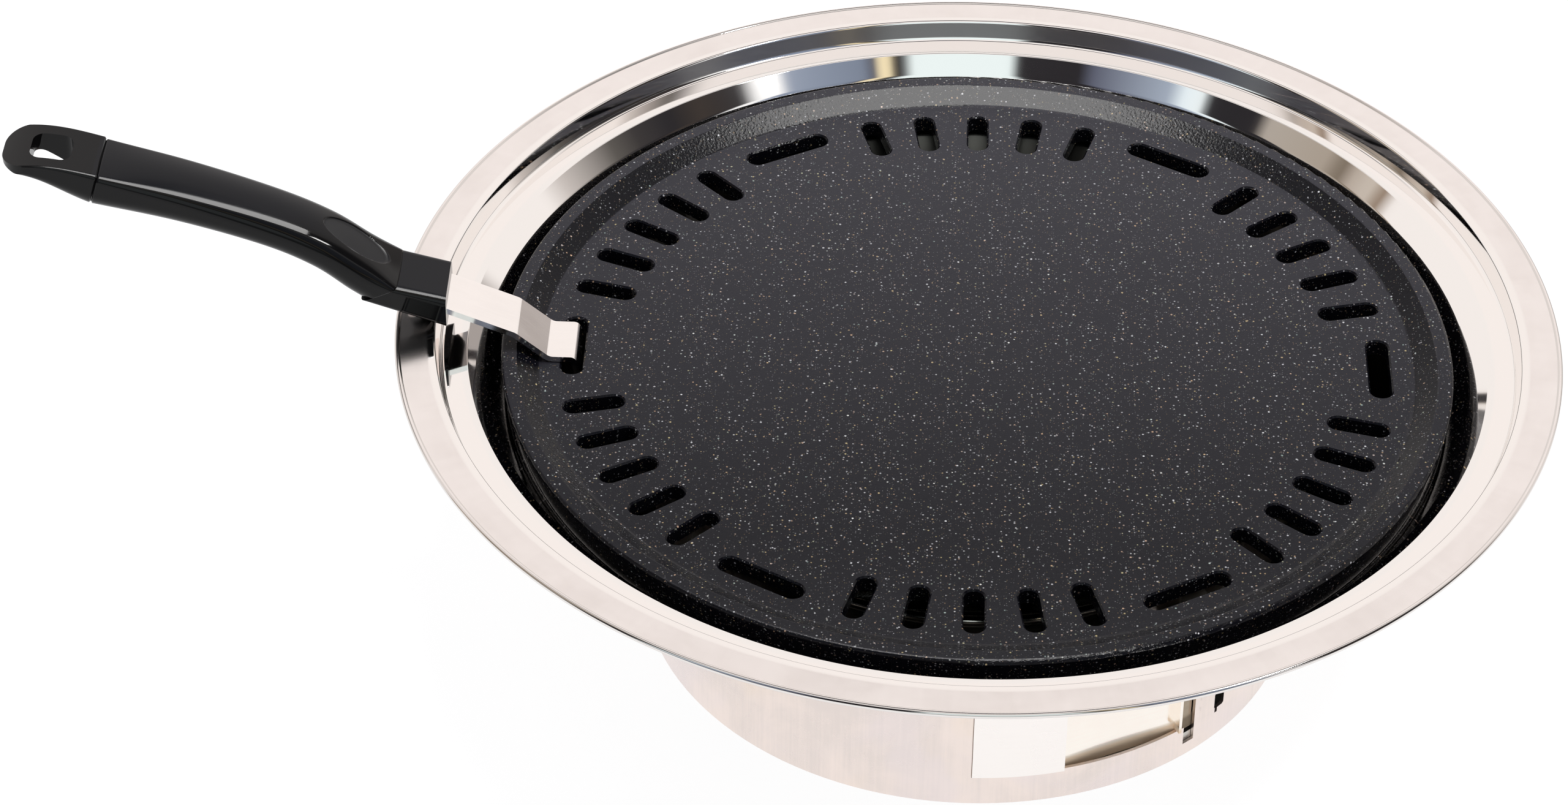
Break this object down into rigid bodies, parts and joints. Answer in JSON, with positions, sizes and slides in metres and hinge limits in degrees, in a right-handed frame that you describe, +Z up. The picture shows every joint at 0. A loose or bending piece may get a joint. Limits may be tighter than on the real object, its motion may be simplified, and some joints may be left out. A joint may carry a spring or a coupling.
{
  "type": "tabletop charcoal grill",
  "caption": "Round tabletop charcoal grill: steel drum with a sliding air door, wide steel top ring, slotted plate and a hook-on lifting handle.",
  "frame": {"origin": "centre of the drum's flat underside, on the surface that the grill stands on", "axes": "+Z up along the drum's axis; the lifting handle points along -X; the front with the air door faces -Y"},
  "size_m": [0.4616, 0.3482, 0.1573],
  "materials": {
    "drum_steel": "satin",
    "cover_steel": "satin",
    "door_steel": "satin",
    "inner_steel": "galvanised",
    "rivet_steel": "satin",
    "ring_steel": "polished inside, brushed flange",
    "basin_steel": "satin",
    "grate_chrome": "polished",
    "plate_coating": "speckled dark non-stick coating",
    "strap_steel": "satin",
    "handle_black": "gloss",
    "screw_steel": "satin"
  },
  "bodies": {
    "body": {"drum_shell": "drum_steel", "base_pan": "inner_steel", "pocket_cover": "cover_steel", "lower_door_rail": "inner_steel", "upper_door_rail": "inner_steel", "heat_shield": "inner_steel", "shield_spacers": "inner_steel", "shield_rivets": "rivet_steel", "basin_bracket_1": "inner_steel", "basin_bracket_2": "inner_steel", "basin_bracket_3": "inner_steel", "bracket_rivets": "rivet_steel"},
    "door": {"air_door": "door_steel"},
    "tray": {"ash_tray": "inner_steel"},
    "basin": {"fire_basin": "basin_steel"},
    "grate": {"charcoal_grate": "grate_chrome"},
    "ring": {"top_ring": "ring_steel"},
    "plate": {"grill_plate": "plate_coating"},
    "handle": {"hook_strap": "strap_steel", "handle_neck": "handle_black", "handle_grip": "handle_black", "end_cap": "handle_black", "neck_screw": "screw_steel"}
  },
  "joints": [
    {"name": "door_slide", "type": "hinge", "parent": "body", "child": "door", "pos_m": [0, 0, 0], "axis": [0, 0, 1], "range_deg": [-20, 2.5]},
    {"name": "ring_lift", "type": "slide", "parent": "body", "child": "ring", "axis": [0, 0, 1], "range_m": [0, 0.1]},
    {"name": "plate_lift", "type": "slide", "parent": "ring", "child": "plate", "axis": [0, 0, 1], "range_m": [0, 0.25]},
    {"name": "handle_lift", "type": "slide", "parent": "plate", "child": "handle", "axis": [-0.2079, 0, 0.9781], "range_m": [0, 0.05]},
    {"name": "basin_lift", "type": "slide", "parent": "body", "child": "basin", "axis": [0, 0, 1], "range_m": [0, 0.2]},
    {"name": "grate_lift", "type": "slide", "parent": "basin", "child": "grate", "axis": [0, 0, 1], "range_m": [0, 0.05]},
    {"name": "tray_lift", "type": "slide", "parent": "body", "child": "tray", "axis": [0, 0, 1], "range_m": [0, 0.1]}
  ],
  "couplings": [
    {"joint": "basin_lift", "follows": "plate_lift", "ratio": 0.8},
    {"joint": "grate_lift", "follows": "plate_lift", "ratio": 0.2},
    {"joint": "tray_lift", "follows": "plate_lift", "ratio": 0.4}
  ]
}
